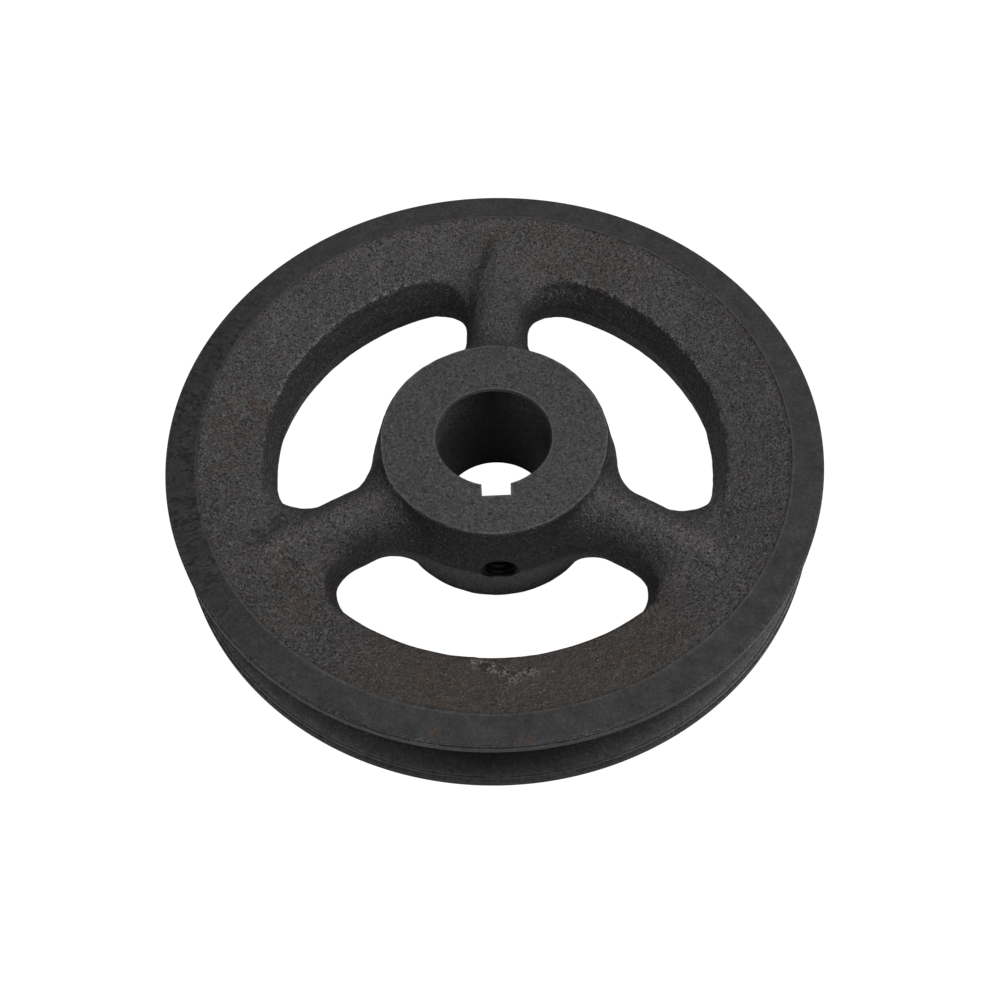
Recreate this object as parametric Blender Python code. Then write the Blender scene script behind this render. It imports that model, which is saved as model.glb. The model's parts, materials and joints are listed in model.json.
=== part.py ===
"""A cast-iron V-belt pulley with one groove, three spokes and a keyed bore, and its set screw.

The pulley is one grey-iron casting. The pattern parts at the middle of the rim, so every cast wall
leans away from that plane. The groove, the rim's face rings, the bore, the keyway and the tapped
hole are machined. The set screw runs in the tapped hole over the keyway.

Frame: the origin is on the bore's axis at the hub's foot, the end it rests on. +Z is the bore's axis
and points to the hub's flush end, and -Y points at the keyway and the set screw. The shapes below are
drawn round the parting plane, at height zero, and the finished pieces are raised into place.
"""

from math import asin, atan2, cos, pi, radians, sin, sqrt, tan, tau

import bmesh
import bpy

INCH = 0.0254

# Rim
OUTSIDE_RADIUS = 5.75 * INCH / 2
RIM_WIDTH = 0.0218
EDGE_BREAK = 0.0004
GROOVE_OPENING = 0.0153
GROOVE_FLOOR_WIDTH = 0.006
GROOVE_HALF_ANGLE = radians(17)
FACE_RING_WIDTH = 0.007

# Web: the dished disc inside the face rings, which the windows cut through
DISH_STEP = 0.0002
DISH_SLOPE = 0.212
WEB_INNER_RADIUS = 0.020

# Hub
PARTING_HEIGHT = 0.0185
BORE_RADIUS = 0.5 * INCH
BORE_CHAMFER = 0.0004
HUB_TOP_RADIUS = 0.02545
HUB_WAIST_RADIUS = 0.0282
HUB_FOOT_RADIUS = 0.0239
HUB_TOP = RIM_WIDTH / 2 + 0.001
HUB_FOOT = -PARTING_HEIGHT
KEYWAY_WIDTH = 0.25 * INCH
KEYWAY_FLOOR_RADIUS = 0.0155

# Spokes and windows
SPOKE_COUNT = 3
SPOKE_TURN = radians(86.6)
SPOKE_HALF_WIDTH = 0.00745
SPOKE_RISE = 0.0094
SPOKE_DROP = 0.0076
SPOKE_ROUNDNESS = 2.8
SPOKE_START_RADIUS = 0.016
SPOKE_END_RADIUS = 0.0555
SPOKE_END_OVERHANG = 0.005
SPOKE_END_HOLLOW = 0.4
WINDOW_OUTER_RADIUS = 0.0501
WINDOW_CORNER_RADIUS = 0.0078
WINDOW_HUB_FILLET = 0.012
WINDOW_HUB_OVERLAP = 0.0004
WALL_SLOPE = 0.28
WALL_EDGE_ROUND = 0.0015

# Set screw, 5/16 - 18 x 1/4 in
THREAD_PITCH = INCH / 18
TAPPED_HOLE_RADIUS = 5 / 16 * INCH / 2
SCREW_CLEARANCE = 0.0003
SCREW_LENGTH = 0.25 * INCH
SCREW_HEAD_CHAMFER = 0.0006
SCREW_CUP_RADIUS = 0.00205
SCREW_CUP_DEPTH = 0.00095
SCREW_CUP_FLOOR_RADIUS = 0.0003
SCREW_TIP_SETBACK = 0.0002
SOCKET_ACROSS_FLATS = 5 / 32 * INCH
SOCKET_DEPTH = 0.003

# Facets
RIM_SEGMENTS = 96
HUB_SEGMENTS = 72
HOLE_SEGMENTS = 32
SPOKE_SECTION_POINTS = 20
SHARP_ANGLE = radians(30)
OVERCUT = 0.004


def clear_scene():
    for item in list(bpy.data.objects):
        bpy.data.objects.remove(item, do_unlink=True)


def new_object(name, mesh):
    """An object from a finished bmesh, its faces turned outwards and its round faces smooth."""
    bmesh.ops.recalc_face_normals(mesh, faces=mesh.faces)
    data = bpy.data.meshes.new(name)
    mesh.to_mesh(data)
    mesh.free()
    data.shade_smooth()
    data.set_sharp_from_angle(angle=SHARP_ANGLE)
    item = bpy.data.objects.new(name, data)
    bpy.context.collection.objects.link(item)
    return item


def turned(name, profile, segments):
    """A solid turned round Z from (radius, height) points that run down its outer side."""
    mesh = bmesh.new()
    chain = [mesh.verts.new((radius, 0, height)) for radius, height in profile]
    edges = [mesh.edges.new(pair) for pair in zip(chain, chain[1:])]
    bmesh.ops.spin(
        mesh, geom=chain + edges, cent=(0, 0, 0), axis=(0, 0, 1), dvec=(0, 0, 0),
        angle=tau, steps=segments, use_merge=True,
    )
    bmesh.ops.holes_fill(mesh, edges=mesh.edges)
    return new_object(name, mesh)


def lofted(name, rings):
    """A solid through rings of points, all of the same count, closed at its first and last ring."""
    mesh = bmesh.new()
    loops = [[mesh.verts.new(point) for point in ring] for ring in rings]
    for near, far in zip(loops, loops[1:]):
        for i in range(len(near)):
            j = (i + 1) % len(near)
            mesh.faces.new((near[i], near[j], far[j], far[i]))
    mesh.faces.new(loops[0])
    mesh.faces.new(loops[-1])
    return new_object(name, mesh)


def box(name, low, high):
    """A rectangular solid from its lowest to its highest corner."""
    rings = [
        [(low[0], low[1], z), (high[0], low[1], z), (high[0], high[1], z), (low[0], high[1], z)]
        for z in (low[2], high[2])
    ]
    return lofted(name, rings)


def combined(target, steps):
    """The target after each step joins it with, or cuts it by, another solid, which is then dropped."""
    for operation, other in steps:
        modifier = target.modifiers.new(f"{operation.lower()} {other.name}", "BOOLEAN")
        modifier.object = other
        modifier.operation = operation
        modifier.solver = "EXACT"
    graph = bpy.context.evaluated_depsgraph_get()
    target.data = bpy.data.meshes.new_from_object(target.evaluated_get(graph))
    target.modifiers.clear()
    target.data.shade_smooth()
    target.data.set_sharp_from_angle(angle=SHARP_ANGLE)
    for _, other in steps:
        bpy.data.objects.remove(other, do_unlink=True)
    return target


def material(name, colour, roughness, metallic):
    made = bpy.data.materials.new(name)
    made.use_nodes = True
    shader = made.node_tree.nodes["Principled BSDF"]
    shader.inputs["Base Color"].default_value = (*colour, 1)
    shader.inputs["Roughness"].default_value = roughness
    shader.inputs["Metallic"].default_value = metallic
    made.diffuse_color = (*colour, 1)
    return made


def dish_height(radius):
    """Height of the dished web's upper face over the middle plane."""
    ring_inner = OUTSIDE_RADIUS - FACE_RING_WIDTH
    return RIM_WIDTH / 2 - DISH_STEP - DISH_SLOPE * (ring_inner - radius)


def mirrored_down(upper):
    """A profile for both sides of the middle plane from its upper half, which ends above the plane."""
    return upper + [(radius, -height) for radius, height in reversed(upper)]


def rim_and_web():
    """The rim with its groove and face rings, and the web as a whole disc."""
    half_floor = GROOVE_FLOOR_WIDTH / 2
    half_opening = GROOVE_OPENING / 2
    floor_radius = OUTSIDE_RADIUS - (half_opening - half_floor) / tan(GROOVE_HALF_ANGLE)
    ring_inner = OUTSIDE_RADIUS - FACE_RING_WIDTH
    upper = [
        (WEB_INNER_RADIUS, dish_height(WINDOW_OUTER_RADIUS)),
        (WINDOW_OUTER_RADIUS, dish_height(WINDOW_OUTER_RADIUS)),
        (ring_inner - DISH_STEP, dish_height(ring_inner)),
        (ring_inner, RIM_WIDTH / 2),
        (OUTSIDE_RADIUS - EDGE_BREAK, RIM_WIDTH / 2),
        (OUTSIDE_RADIUS, RIM_WIDTH / 2 - EDGE_BREAK),
        (OUTSIDE_RADIUS, half_opening),
        (floor_radius, half_floor),
    ]
    return turned("rim_and_web", mirrored_down(upper), RIM_SEGMENTS)


def hub():
    """Two cones that meet at the parting plane, broadest there."""
    profile = [
        (HUB_TOP_RADIUS - EDGE_BREAK, HUB_TOP),
        (HUB_TOP_RADIUS, HUB_TOP - EDGE_BREAK),
        (HUB_WAIST_RADIUS, 0),
        (HUB_FOOT_RADIUS, HUB_FOOT + EDGE_BREAK),
        (HUB_FOOT_RADIUS - EDGE_BREAK, HUB_FOOT),
    ]
    return turned("hub", profile, HUB_SEGMENTS)


def along(azimuth, reach, side, height):
    """A point at a reach along an azimuth and a distance to that azimuth's left."""
    x = reach * cos(azimuth) - side * sin(azimuth)
    y = reach * sin(azimuth) + side * cos(azimuth)
    return (x, y, height)


def spoke(azimuth, number):
    """A bar with an egg-shaped section, deeper above the parting plane than below it.

    Its outer end is hollowed and leans outwards above and below that plane, to clear the groove.
    """
    sides = []
    for i in range(SPOKE_SECTION_POINTS):
        angle = tau * (i + 0.5) / SPOKE_SECTION_POINTS
        power = 2 / SPOKE_ROUNDNESS
        side = SPOKE_HALF_WIDTH * abs(cos(angle)) ** power * (1 if cos(angle) > 0 else -1)
        rise = SPOKE_RISE if sin(angle) > 0 else -SPOKE_DROP
        sides.append((side, rise * abs(sin(angle)) ** power))
    start, end, hollow = [], [], []
    for side, height in sides:
        overhang = SPOKE_END_OVERHANG * (height / SPOKE_RISE) ** 2
        start.append(along(azimuth, SPOKE_START_RADIUS, side, height))
        end.append(along(azimuth, SPOKE_END_RADIUS + overhang, side, height))
        inwards = (side * SPOKE_END_HOLLOW, height * SPOKE_END_HOLLOW)
        hollow.append(along(azimuth, SPOKE_END_RADIUS, *inwards))
    return lofted(f"spoke_{number}", [start, end, hollow])


def arc(centre, radius, start, end, steps):
    """Points on an arc from one angle to another, without its last point."""
    return [
        (
            centre[0] + radius * cos(start + (end - start) * i / steps),
            centre[1] + radius * sin(start + (end - start) * i / steps),
        )
        for i in range(steps)
    ]


def window_half_outline(grown):
    """Half a window, from its middle on the hub side to its middle on the rim side.

    The x axis is the neighbouring spoke's, the window lies to its left, and `grown` moves every
    edge outwards by that much. Each corner's centre stays where it is as the window grows.
    """
    middle = pi / SPOKE_COUNT
    inner = HUB_WAIST_RADIUS - WINDOW_HUB_OVERLAP
    fillet_side = SPOKE_HALF_WIDTH + WINDOW_HUB_FILLET
    fillet_reach = sqrt((inner + WINDOW_HUB_FILLET) ** 2 - fillet_side**2)
    fillet_bearing = asin(fillet_side / (inner + WINDOW_HUB_FILLET))
    corner_side = SPOKE_HALF_WIDTH + WINDOW_CORNER_RADIUS
    corner_reach = sqrt((WINDOW_OUTER_RADIUS - WINDOW_CORNER_RADIUS) ** 2 - corner_side**2)
    corner_bearing = atan2(corner_side, corner_reach)
    return (
        arc((0, 0), inner - grown, middle, fillet_bearing, 4)
        + arc((fillet_reach, fillet_side), WINDOW_HUB_FILLET + grown, fillet_bearing + pi, 1.5 * pi, 5)
        + arc((corner_reach, corner_side), WINDOW_CORNER_RADIUS + grown, -0.5 * pi, corner_bearing, 6)
        + arc((0, 0), WINDOW_OUTER_RADIUS + grown, corner_bearing, middle, 8)
    )


def window_outline(azimuth, grown, height):
    """A whole window to the left of the spoke at this azimuth: one half, then its mirror image."""
    half = window_half_outline(grown)
    middle = pi / SPOKE_COUNT
    points = list(half)
    points.append(((WINDOW_OUTER_RADIUS + grown) * cos(middle), (WINDOW_OUTER_RADIUS + grown) * sin(middle)))
    for x, y in reversed(half[1:]):
        across = 2 * middle - atan2(y, x)
        reach = sqrt(x * x + y * y)
        points.append((reach * cos(across), reach * sin(across)))
    return [along(azimuth, x, y, height) for x, y in points]


def window(azimuth, number):
    """The cutter of one window: waisted at the parting plane and flared at the web's two faces."""
    edge = dish_height(WINDOW_OUTER_RADIUS + WALL_SLOPE * SPOKE_RISE)
    shoulder = edge - WALL_EDGE_ROUND
    at_shoulder = WALL_SLOPE * shoulder
    upper = [
        (0, 0),
        (shoulder, at_shoulder),
        (edge - 0.35 * WALL_EDGE_ROUND, at_shoulder + 0.4 * WALL_EDGE_ROUND),
        (edge, at_shoulder + 0.95 * WALL_EDGE_ROUND),
        (edge + OVERCUT, at_shoulder + 0.95 * WALL_EDGE_ROUND + OVERCUT / DISH_SLOPE / 2),
    ]
    levels = [(-height, grown) for height, grown in reversed(upper[1:])] + upper
    rings = [window_outline(azimuth, grown, height) for height, grown in levels]
    return lofted(f"window_{number}", rings)


def bore():
    """The bore's cutter, with a small chamfer at each end."""
    wide = BORE_RADIUS + BORE_CHAMFER + OVERCUT
    profile = [
        (wide, HUB_TOP + OVERCUT),
        (BORE_RADIUS, HUB_TOP - BORE_CHAMFER),
        (BORE_RADIUS, HUB_FOOT + BORE_CHAMFER),
        (wide, HUB_FOOT - OVERCUT),
    ]
    return turned("bore", profile, RIM_SEGMENTS)


def keyway():
    """The keyway's cutter, open at both ends of the hub."""
    return box(
        "keyway",
        (-KEYWAY_WIDTH / 2, -KEYWAY_FLOOR_RADIUS, HUB_FOOT - OVERCUT),
        (KEYWAY_WIDTH / 2, -BORE_RADIUS / 2, HUB_TOP + OVERCUT),
    )


def tapped_hole():
    """The cutter of the set screw's hole, from the bore out through the hub's broadest line."""
    profile = [
        (TAPPED_HOLE_RADIUS, HUB_WAIST_RADIUS + OVERCUT),
        (TAPPED_HOLE_RADIUS, BORE_RADIUS - OVERCUT / 2),
    ]
    hole = turned("tapped_hole", profile, HOLE_SEGMENTS)
    hole.rotation_euler = (pi / 2, 0, 0)
    return hole


def pulley(iron):
    """The casting: rim, web, spokes and hub in one piece, with its machined bore, keyway and hole."""
    azimuths = [SPOKE_TURN + tau * i / SPOKE_COUNT for i in range(SPOKE_COUNT)]
    windows = [window(azimuth, number) for number, azimuth in enumerate(azimuths, 1)]
    spokes = [spoke(azimuth, number) for number, azimuth in enumerate(azimuths, 1)]
    steps = [("DIFFERENCE", cutter) for cutter in windows]
    steps += [("UNION", joined) for joined in (*spokes, hub())]
    steps += [("DIFFERENCE", cutter) for cutter in (bore(), keyway(), tapped_hole())]
    casting = combined(rim_and_web(), steps)
    casting.name = "pulley"
    casting.location.z = PARTING_HEIGHT
    casting.data.materials.clear()
    casting.data.materials.append(iron)


def socket():
    """The cutter of the hexagon socket in the screw's outer end."""
    corner = SOCKET_ACROSS_FLATS / 2 / cos(pi / 6)
    rings = [
        [(corner * cos(tau * i / 6), corner * sin(tau * i / 6), height) for i in range(6)]
        for height in (SCREW_LENGTH - SOCKET_DEPTH, SCREW_LENGTH + OVERCUT)
    ]
    return lofted("socket", rings)


def set_screw(steel):
    """A cup-point socket set screw. It lies on its own axis, with its cup behind the keyway's floor."""
    radius = TAPPED_HOLE_RADIUS - SCREW_CLEARANCE
    profile = [
        (radius - SCREW_HEAD_CHAMFER, SCREW_LENGTH),
        (radius, SCREW_LENGTH - SCREW_HEAD_CHAMFER),
        (radius, radius - SCREW_CUP_RADIUS),
        (SCREW_CUP_RADIUS, 0),
        (SCREW_CUP_FLOOR_RADIUS, SCREW_CUP_DEPTH),
    ]
    screw = combined(turned("set_screw", profile, HOLE_SEGMENTS), [("DIFFERENCE", socket())])
    screw.location = (0, -KEYWAY_FLOOR_RADIUS - SCREW_TIP_SETBACK, PARTING_HEIGHT)
    screw.rotation_euler = (pi / 2, 0, 0)
    screw.data.materials.clear()
    screw.data.materials.append(steel)


def build():
    clear_scene()
    iron = material("cast_iron", (0.045, 0.042, 0.040), 0.75, 0.4)
    steel = material("black_oxide_steel", (0.03, 0.03, 0.032), 0.45, 0.9)
    pulley(iron)
    set_screw(steel)


build()
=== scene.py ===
import json
from math import cos, pi, radians, sin, tan, tau

import bmesh
import bpy
import numpy as np
from mathutils import Matrix, Vector


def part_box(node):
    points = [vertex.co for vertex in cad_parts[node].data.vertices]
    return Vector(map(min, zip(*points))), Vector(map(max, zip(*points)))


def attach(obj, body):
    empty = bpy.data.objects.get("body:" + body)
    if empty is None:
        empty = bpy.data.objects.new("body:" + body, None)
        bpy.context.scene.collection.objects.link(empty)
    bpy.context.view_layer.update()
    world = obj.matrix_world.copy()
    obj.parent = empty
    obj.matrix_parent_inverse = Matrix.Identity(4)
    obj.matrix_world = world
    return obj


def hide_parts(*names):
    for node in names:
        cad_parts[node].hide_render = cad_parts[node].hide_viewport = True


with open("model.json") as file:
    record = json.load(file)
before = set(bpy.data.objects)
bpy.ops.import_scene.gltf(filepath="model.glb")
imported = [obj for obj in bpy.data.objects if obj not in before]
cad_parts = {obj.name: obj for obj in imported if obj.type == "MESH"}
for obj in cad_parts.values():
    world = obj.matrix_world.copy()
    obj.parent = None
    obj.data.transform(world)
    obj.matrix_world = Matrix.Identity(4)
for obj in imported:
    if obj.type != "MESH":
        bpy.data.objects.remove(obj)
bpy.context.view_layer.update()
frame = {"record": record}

# Lengths are in millimetres, and heights are above the casting's parting plane, unless a comment says
# otherwise. The bore's axis is Z, and the keyway and the set screw lie towards -Y.
MM = 0.001
mounts = {mount["name"]: mount for mount in frame["record"]["mounts"]}
rim_top = mounts["rim_face"]["pos_m"][2]
rim_foot = mounts["rim_back_face"]["pos_m"][2]
PARTING_HEIGHT = (rim_top + rim_foot) / 2 / MM
pulley_low, pulley_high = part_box("pulley")
screw_low, screw_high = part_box("set_screw")

# Rim, turned on a lathe
OUTSIDE = (pulley_high.x - pulley_low.x) / 2 / MM
HALF_RIM = (rim_top - rim_foot) / 2 / MM
RING_INNER = OUTSIDE - 7.0
RING_CUT_OVERLAP = 9
RIM_EDGE_BREAK = 0.35
GROOVE_HALF_OPENING = 7.65
GROOVE_HALF_FLOOR = 3.0
GROOVE_ANGLE = radians(17)
GROOVE_EDGE_BREAK = (0.2, 0.15)

# The narrow lands either side of the groove, with the steps turned in them. Each point is an inset from
# the outside radius, and a depth below the ring's face or a height above the groove's lower edge.
UPPER_LAND = [(0.35, 0), (0, 0.3), (0, 0.45), (0.4, 0.6), (0.4, 1.1), (0, 1.3)]
LOWER_LAND = [
    (0.9, 0.28), (0.78, 0.02), (0.6, 0.19), (0.12, 0),
    (0, -0.1), (0, -0.4), (0.28, -0.5), (0.28, -0.8), (0, -0.9),
]

# Cast web and windows
DISH_SLOPE = 0.235
DISH_STEP = 0.2
PAD_STOCK = 0.4
PAD_LEAD = 0.15
PAD_RUN = 0.5
WINDOW_RADIUS = 49.8
WALL_SLOPE = 0.31
WINDOW_EDGE_ROUND = 0.5
WINDOW_BRINK = 52.1

# Spokes
SPOKES = [radians(86.6) + tau * i / 3 for i in range(3)]
SPOKE_HALF_WIDTH = 7.45
SPOKE_RISE = 9.4
SPOKE_DROP = 7.6
SPOKE_POWER = 2.35
CORNER_FILLET = 11.5
CORNER_FILLET_AT_FACE = 14.5
VALLEY_FILLET = 5.0
LEAST_FILLET = 0.8

# Hub
HUB_TOP = pulley_high.z / MM - PARTING_HEIGHT
HUB_FOOT = pulley_low.z / MM - PARTING_HEIGHT
HUB_WAIST = 28.2
HUB_TAPER = 0.232
HUB_EDGE_ROUND = 0.9
UPPER_HUB_FILLET = 7.5
UPPER_HUB_FILLET_AT_FACE = 3.5
LOWER_HUB_FILLET = 7
LOWER_HUB_FILLET_AT_FACE = 9

# Stock left on the casting for the lathe
FACING = 0.3
TURNING = 0.8
OVERCUT = 3

# The cast skin's unevenness: height, size and seed of each layer of noise
SKIN_BUMPS = [(0.12, 12, 1), (0.06, 3.6, 2), (0.05, 1.3, 3)]
SCAB_HEIGHT = 0.5
CRUST_HEIGHT = 0.35
CREASE_DEPTH = 0.45

# Bore, keyway and the screw's thread, 5/16 - 18
BORE = 12.7
BORE_CHAMFER = 0.4
KEYWAY_HALF_WIDTH = 3.175
KEYWAY_FLOOR = 15.5
PITCH = 25.4 / 18
THREAD_MAJOR = 3.97
THREAD_MINOR = 3.30
THREAD_CLEARANCE = 0.07
THREAD_STEEPNESS = 2.8
THREAD_ROOT_FLAT = 0.2
HOLE_MOUTH_WIDER = 0.15
HOLE_MOUTH_DEPTH = 0.55

# Set screw
SCREW_LENGTH = (screw_high.y - screw_low.y) / MM
SCREW_TIP = -screw_high.y / MM
SCREW_HEAD_CHAMFER = 0.6
CUP_RIM = 2.05
CUP_DEPTH = 0.95
CUP_LIP_WIDTH = 0.14
CUP_LIP_DEPTH = 0.12
CENTRE_FLAT = 0.3
SOCKET_ACROSS_FLATS = 25.4 * 5 / 32
SOCKET_DEPTH = 3.0
SOCKET_POINT = 0.5
SOCKET_CHAMFER = 0.2

# Meshing
GRID_STEP = 0.5
PROJECTION_ROUNDS = 3
LEAST_STEEPNESS = 0.05
LATHE_STEPS = 360
THREAD_STEPS = 48
HOLE_ROWS_PER_PITCH = 16
SCREW_ROWS_PER_PITCH = 20
SHARP_ANGLE = radians(38)
SCREW_SHARP_ANGLE = radians(30)

# Colours, linear
IRON_DARK = (0.0262, 0.0243, 0.0252)
IRON_LIGHT = (0.0375, 0.0348, 0.0364)
BROWN = (0.0330, 0.0268, 0.0225)
STAIN = (0.0335, 0.0245, 0.0185)
RUST = (0.0580, 0.0390, 0.0270)
# Bright flakes and chips, and painted glints
FLAKE_AND_GLINT = (0.1900, 0.1700, 0.1700)
# Colour of painted glints
GLINT = (0.1550, 0.1550, 0.1640)
TURNED_DARK = (0.0235, 0.0225, 0.0234)
TURNED_LIGHT = (0.0365, 0.0350, 0.0365)
FACED_DARK = (0.0238, 0.0214, 0.0228)
FACED_LIGHT = (0.0298, 0.0276, 0.0290)
BARE_EDGE = (0.150, 0.146, 0.150)
# Worn metal, and the colour of painted glints and highlights
WORN_AND_GLINT = (0.0910, 0.0910, 0.0945)
# The bore's painted shade and painted light
BORED_SHADED = (0.0010, 0.0010, 0.0012)
BORED_LIT = (0.1300, 0.1270, 0.1310)
OXIDE_DARK = (0.010, 0.010, 0.012)
OXIDE_LIGHT = (0.022, 0.022, 0.024)
STEEL = (0.25, 0.25, 0.26)

# How strongly each skin mirrors: the machined ones are dull with grime
CAST_SPECULAR = 0.35
TURNED_SPECULAR = 0.14
BORED_SPECULAR = 0.1
SCREW_SPECULAR = 0.5

# A scab by the front window's edge and a crust on the wall of the window beyond it
SCAB_PATH = [(-6.5, -53.2, 7.6), (-1, -55.2, 8.0), (1.5, -57.8, 8.6), (5.8, -56, 8.2)]
SCAB_WIDTH = 1.7
CRUST_PATH = [(10.5, 45.0, 3.4), (13, 46.9, 3.6), (17.3, 48.2, 3.8), (22, 46.6, 3.8)]
CRUST_WIDTH = 2.8

# The crease on the left of the far spoke, where it runs out into the web: the skin is sunk along it, and
# painted shade darkens it
CREASE_PATH = [(-6.0, 39.0, 6.5), (-4.3, 46.0, 7.0), (-1.9, 52.5, 7.9), (0.6, 60.0, 9.2)]
CREASE_WIDTH = 2.6

# Painted highlights along the crests of the two near spokes
CREST_HIGHLIGHT_PATHS = [[(-22, -11.6, 9.3), (-48, -24.2, 9.0)], [(22, -14.4, 9.3), (44.6, -29.2, 9.0)]]
CREST_HIGHLIGHT_WIDTH = 2.8

# The web's browner front, and where rust shows on the web: azimuth in degrees, radius, size and soft edge
BROWN_FRONT = (-86, 60, 22, 22)
RUST_PATCHES = [
    (72, 60, 6, 9), (88, 62, 3, 8), (57, 58, 4, 10), (176, 62, 4, 9), (168, 58, 3, 8),
    (-142, 57, 5, 12), (-60, 62, 6, 12), (-100, 60, 8, 14),
]

# Dark smudges where the left spoke leaves the web: azimuth in degrees and radius
SMUDGES = [(-163, 55.2), (-160, 50), (-158, 56), (-167, 50)]

# On the ring: two small rust marks, the grimy left and two bare places on its front edge. Each has its
# azimuth in degrees and its radius, and a patch also has its size and soft edge.
RING_MARKS = [(-102, 70.8), (-87, 71.6)]
RING_LEFT = (178, 70, 30, 34)
BARE_PLACES = [(-76, 73, 3, 8), (-104, 73, 2, 6)]

# Painted glints on the groove's flank at the front
FLANK_GLINTS = (-72, 66, 5, 12)

# Stage, in metres and watts
FLOOR_RADIUS = 3
FLOOR_HEIGHT = -0.0003
FLOOR_SEEN = (0.9, 0.9, 0.9)
FLOOR_GLOW = 1.1
FLOOR_BOUNCE = 0.9
FLOOR_LIFT = 0.93
WORLD_LIGHT = 0.17
WORLD_SEEN = 1.05
WHITE = (1.0, 1.0, 1.0)

# Each light's name, place, size and power
LIGHTS = [
    ("overhead", (0.1, 0.25, 0.9), (0.9, 0.9), 6.5),
    ("right", (0.9, 0.1, 0.45), (0.6, 0.5), 2.6),
    ("front", (0.1, -0.8, 0.45), (0.9, 0.4), 3.2),
]

# The camera that was fitted to the photograph's circles
LENS = 51.68
SENSOR_WIDTH = 36
CAMERA_PLACE = (-0.00221, -0.18062, 0.29408)
CAMERA_TURN = (radians(31.848), radians(0.909), radians(-2.473))
NEAREST_SEEN = 0.01


# Casting blank: a distance field meshed on a grid

def smooth_union(a, b, radius):
    """The union of two distance fields, with a fillet of this radius where they meet."""
    inside = np.hypot(np.maximum(radius - a, 0), np.maximum(radius - b, 0))
    return np.maximum(radius, np.minimum(a, b)) - inside


def smooth_overlap(a, b, radius):
    """The overlap of two distance fields, with a rounded edge of this radius where they meet."""
    return -smooth_union(-a, -b, radius)


def web_field(radius, lift):
    """The dished web with its rim, outside the windows' round wall; and how far its skin faces up."""
    pad = np.clip((radius - RING_INNER + PAD_LEAD) / PAD_RUN, 0, 1)
    skin = HALF_RIM - DISH_STEP - DISH_SLOPE * (RING_INNER - radius) + (DISH_STEP + PAD_STOCK) * pad
    dish = lift - skin
    wall = WINDOW_RADIUS + WALL_SLOPE * lift - radius
    up = np.maximum(dish + WINDOW_EDGE_ROUND, 0)
    out = np.maximum(wall + WINDOW_EDGE_ROUND, 0)
    upness = np.where(up + out > 0, up / (np.hypot(up, out) + 1e-6), dish > wall)
    return smooth_overlap(dish, wall, WINDOW_EDGE_ROUND), upness


def spoke_field(x, y, z, azimuth):
    """One spoke's bar with an egg-shaped section; and how far its skin faces up."""
    reach = x * cos(azimuth) + y * sin(azimuth)
    side = np.abs(y * cos(azimuth) - x * sin(azimuth)) + 1e-4
    lift = np.abs(z) + 1e-4
    height = np.where(z > 0, SPOKE_RISE, SPOKE_DROP)
    across = (side / SPOKE_HALF_WIDTH) ** SPOKE_POWER
    upright = (lift / height) ** SPOKE_POWER
    scale = (across + upright) ** (1 / SPOKE_POWER)
    slope_across = across / side
    slope_up = upright / lift
    slope = np.hypot(slope_across, slope_up)
    distance = (scale - 1) * (across + upright) / (slope * scale)
    return np.maximum(distance, -reach), slope_up / slope


def spoke_fillet(depth, web_upness, bar_upness):
    """Fillet between a spoke and the web: wide in the windows' corners, narrow across their tops."""
    corner = CORNER_FILLET + (CORNER_FILLET_AT_FACE - CORNER_FILLET) * depth
    valley = VALLEY_FILLET * web_upness * (1 - bar_upness)
    return np.maximum(corner * (1 - web_upness) + valley, LEAST_FILLET)


def hub_fillet(z, depth):
    """Fillet between the hub and all round it, from the parting plane to the rim's face."""
    upper = UPPER_HUB_FILLET + (UPPER_HUB_FILLET_AT_FACE - UPPER_HUB_FILLET) * depth
    lower = LOWER_HUB_FILLET + (LOWER_HUB_FILLET_AT_FACE - LOWER_HUB_FILLET) * depth
    return np.where(z > 0, upper, lower)


def casting_field(x, y, z):
    """The rough casting's distance field, before any machining."""
    radius = np.hypot(x, y)
    lift = np.abs(z)
    depth = np.minimum(lift / HALF_RIM, 1) ** 2
    body, web_upness = web_field(radius, lift)
    for azimuth in SPOKES:
        bar, bar_upness = spoke_field(x, y, z, azimuth)
        body = smooth_union(body, bar, spoke_fillet(depth, web_upness, bar_upness))
    hub = radius - (HUB_WAIST - HUB_TAPER * lift)
    body = smooth_union(body, hub, hub_fillet(z, depth))
    body = np.maximum(body, radius - (OUTSIDE + TURNING))
    body = smooth_overlap(body, z - (HUB_TOP + FACING), HUB_EDGE_ROUND)
    return smooth_overlap(body, HUB_FOOT - FACING - z, HUB_EDGE_ROUND)


def value_noise(points, size, seed):
    """Smooth seeded noise from -1 to 1 whose bumps are about this size."""
    table = np.random.default_rng(seed).uniform(-1, 1, (64, 64, 64))
    scaled = points / size + 1000
    cell = np.floor(scaled).astype(int)
    part = scaled - cell
    part = part * part * (3 - 2 * part)
    total = 0
    for corner in np.ndindex(2, 2, 2):
        weight = np.prod(np.where(corner, part, 1 - part), axis=1)
        i, j, k = ((cell + corner) % 64).T
        total = total + weight * table[i, j, k]
    return total


def gradient(points):
    """Slope of the casting's field at each point."""
    step = 0.02
    slopes = []
    for axis in range(3):
        offset = np.zeros(3)
        offset[axis] = step
        ahead = casting_field(*(points + offset).T)
        behind = casting_field(*(points - offset).T)
        slopes.append((ahead - behind) / (2 * step))
    return np.stack(slopes, axis=1)


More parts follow.
